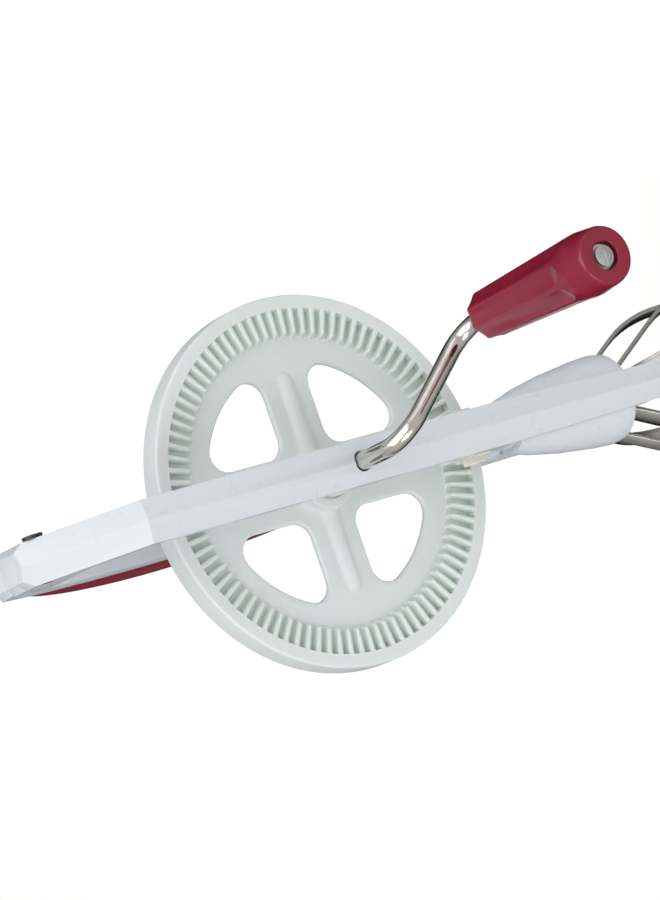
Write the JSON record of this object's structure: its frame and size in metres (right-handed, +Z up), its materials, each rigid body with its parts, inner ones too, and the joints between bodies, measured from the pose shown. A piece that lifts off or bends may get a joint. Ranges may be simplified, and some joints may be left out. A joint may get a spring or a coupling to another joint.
{
  "type": "rotary egg beater",
  "caption": "Hand-crank rotary egg beater: a crank turns a face-toothed gear wheel that spins two strip beaters below a plastic frame with a soft grip.",
  "frame": {"origin": "centre of the gear wheel, where the crank rod's axis meets the wheel's middle plane", "axes": "+Z up along the handle, so the beaters hang towards -Z; the crank and knob face -Y; +X completes the frame"},
  "size_m": [0.104, 0.1556, 0.2764],
  "materials": {
    "frame_plastic": "satin",
    "gear_plastic": "satin",
    "bearing_plastic": "satin",
    "red_plastic": "gloss",
    "soft_grip": "satin",
    "dark_plastic": "matte",
    "plated_rod": "polished",
    "beater_steel": "polished",
    "fastener_steel": "satin"
  },
  "bodies": {
    "root": {"front_bar": "frame_plastic", "gear_guard": "frame_plastic", "rear_arm": "frame_plastic", "handle_joint_block": "frame_plastic", "bearing_block": "frame_plastic", "handle_grip": "soft_grip", "handle_screw": "dark_plastic", "frame_screws": "fastener_steel", "front_hub_bush": "bearing_plastic", "rear_hub_bush": "bearing_plastic", "upper_shaft_bearings": "frame_plastic", "lower_shaft_bushes": "bearing_plastic"},
    "wheel": {"gear_wheel": "gear_plastic", "crank_rod": "plated_rod", "hub_pin": "fastener_steel", "thrust_washers": "fastener_steel", "knob_washer": "fastener_steel"},
    "knob": {"crank_knob": "red_plastic", "knob_sleeve": "dark_plastic"},
    "front_beater": {"front_pinion": "bearing_plastic", "front_shaft": "beater_steel", "front_ferrule": "beater_steel", "front_outer_loop": "beater_steel", "front_inner_loop": "beater_steel", "front_tip_rivet": "beater_steel"},
    "rear_beater": {"rear_pinion": "bearing_plastic", "rear_shaft": "beater_steel", "rear_ferrule": "beater_steel", "rear_outer_loop": "beater_steel", "rear_inner_loop": "beater_steel", "rear_tip_rivet": "beater_steel"}
  },
  "joints": [
    {"name": "wheel_spin", "type": "hinge", "parent": "root", "child": "wheel", "pos_m": [0, 0, 0], "axis": [0, 1, 0], "continuous": true},
    {"name": "knob_spin", "type": "hinge", "parent": "wheel", "child": "knob", "pos_m": [0.02525, -0.0568, -0.03063], "axis": [0, 1, 0], "continuous": true},
    {"name": "front_beater_spin", "type": "hinge", "parent": "root", "child": "front_beater", "pos_m": [0, -0.0103, -0.045], "axis": [0, 0, 1], "continuous": true},
    {"name": "rear_beater_spin", "type": "hinge", "parent": "root", "child": "rear_beater", "pos_m": [0, 0.0103, -0.045], "axis": [0, 0, 1], "continuous": true}
  ],
  "couplings": [
    {"joint": "front_beater_spin", "follows": "wheel_spin", "ratio": 6.2143},
    {"joint": "rear_beater_spin", "follows": "wheel_spin", "ratio": -6.2143}
  ]
}
